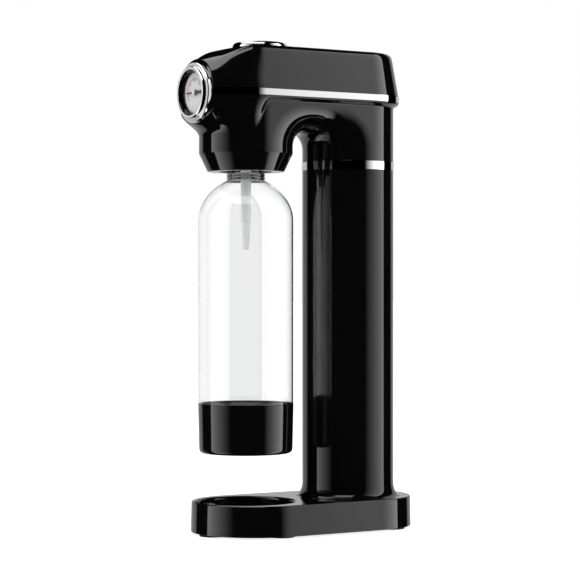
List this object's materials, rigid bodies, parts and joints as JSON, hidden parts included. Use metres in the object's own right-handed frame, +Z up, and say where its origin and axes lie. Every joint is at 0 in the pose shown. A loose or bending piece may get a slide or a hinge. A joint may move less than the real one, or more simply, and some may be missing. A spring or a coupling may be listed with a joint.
{
  "type": "sparkling water maker",
  "caption": "Countertop sparkling water maker: a gas column on a long base, a head with a push button and a pressure gauge, and a clear bottle screwed into its collar.",
  "frame": {"origin": "on the table under the middle of the object's box, in the plane of symmetry", "axes": "+Z up, -Y toward the front where the gauge faces, +X to the right as seen from the front"},
  "size_m": [0.1174, 0.2292, 0.4464],
  "materials": {
    "black_gloss": "polished black ABS",
    "black_matte": "moulded black plastic, not polished",
    "chrome": "bright plated trim",
    "steel": "plain machined steel",
    "brass": "machined brass and copper pipe",
    "cylinder_aluminium": "drawn aluminium",
    "rubber": "matt black rubber",
    "nozzle_plastic": "pale translucent plastic",
    "clear_bottle": "clear PET",
    "clear_lens": "clear window",
    "dial_face": "pale printed face",
    "needle_black": "black paint"
  },
  "bodies": {
    "stand": {"base_shell": "black_gloss", "base_plate": "black_matte", "base_screws": "steel", "feet": "rubber", "column_tube": "black_gloss", "column_screws": "steel", "column_ring": "chrome", "guide_rings": "black_matte", "head_lower": "black_gloss", "head_upper": "black_gloss", "trim_strip": "chrome", "head_screws": "steel", "head_frame": "steel", "frame_screws": "steel", "lever_pin": "steel", "button_ring": "chrome", "button_housing": "black_matte", "button_spring": "steel", "valve_block": "brass", "valve_nut": "steel", "valve_seal": "rubber", "gas_pipe": "brass", "bottle_adaptor": "black_matte", "adaptor_nut": "steel", "nozzle": "nozzle_plastic", "relief_valve": "brass", "gauge_case": "black_matte", "gauge_bezel": "chrome", "gauge_lens": "clear_lens", "gauge_dial": "dial_face", "gauge_movement": "brass", "bourdon_tube": "brass", "gauge_stem": "brass", "gauge_pipe": "brass"},
    "button": {"button_cap": "chrome", "button_stem": "steel"},
    "lever": {"lever": "steel"},
    "valve_pin": {"valve_pin": "steel"},
    "relief_pin": {"relief_pin": "steel"},
    "needle": {"gauge_needle": "needle_black"},
    "gas_cylinder": {"cylinder_body": "cylinder_aluminium", "cylinder_valve": "brass"},
    "cylinder_pin": {"cylinder_pin": "steel"},
    "hatch": {"cylinder_hatch": "black_matte"},
    "bottle_seal": {"bottle_seal": "rubber"},
    "bottle": {"bottle_shell": "clear_bottle", "bottle_cup": "black_gloss", "bottle_neck_ring": "black_matte"}
  },
  "joints": [
    {"name": "button_press", "type": "slide", "parent": "stand", "child": "button", "axis": [0, 0, -1], "range_m": [0, 0.005], "stiffness_N_per_m": 1200, "springref_m": -0.003, "deforming": ["button_spring"]},
    {"name": "lever_tilt", "type": "hinge", "parent": "stand", "child": "lever", "pos_m": [0, 0.0779, 0.414], "axis": [1, 0, 0], "range_deg": [0, 2.42]},
    {"name": "valve_pin_press", "type": "slide", "parent": "stand", "child": "valve_pin", "axis": [0, 0, -1], "range_m": [0, 0.0009283]},
    {"name": "relief_lift", "type": "slide", "parent": "stand", "child": "relief_pin", "axis": [0, 0, 1], "range_m": [0, 0.0015], "stiffness_N_per_m": 400, "springref_m": -0.004},
    {"name": "needle_turn", "type": "hinge", "parent": "stand", "child": "needle", "pos_m": [0, -0.107, 0.397], "axis": [0, 1, 0], "range_deg": [0, 210]},
    {"name": "cylinder_turn", "type": "hinge", "parent": "stand", "child": "gas_cylinder", "pos_m": [0, 0.0559, 0.2], "axis": [0, 0, 1], "range_deg": [0, 360]},
    {"name": "cylinder_pin_press", "type": "slide", "parent": "gas_cylinder", "child": "cylinder_pin", "axis": [0, 0, -1], "range_m": [0, 0.0009283]},
    {"name": "hatch_turn", "type": "hinge", "parent": "stand", "child": "hatch", "pos_m": [0, 0.0559, 0.004], "axis": [0, 0, 1], "range_deg": [0, 45]},
    {"name": "bottle_turn", "type": "hinge", "parent": "stand", "child": "bottle_seal", "pos_m": [0, -0.0556, 0.2], "axis": [0, 0, 1], "range_deg": [0, 270]},
    {"name": "bottle_drop", "type": "slide", "parent": "bottle_seal", "child": "bottle", "axis": [0, 0, -1], "range_m": [0, 0.056]}
  ],
  "couplings": [
    {"joint": "lever_tilt", "follows": "button_press", "rad_per_m": 8.4388},
    {"joint": "valve_pin_press", "follows": "button_press", "ratio": 0.18565},
    {"joint": "cylinder_pin_press", "follows": "button_press", "ratio": 0.18565}
  ]
}
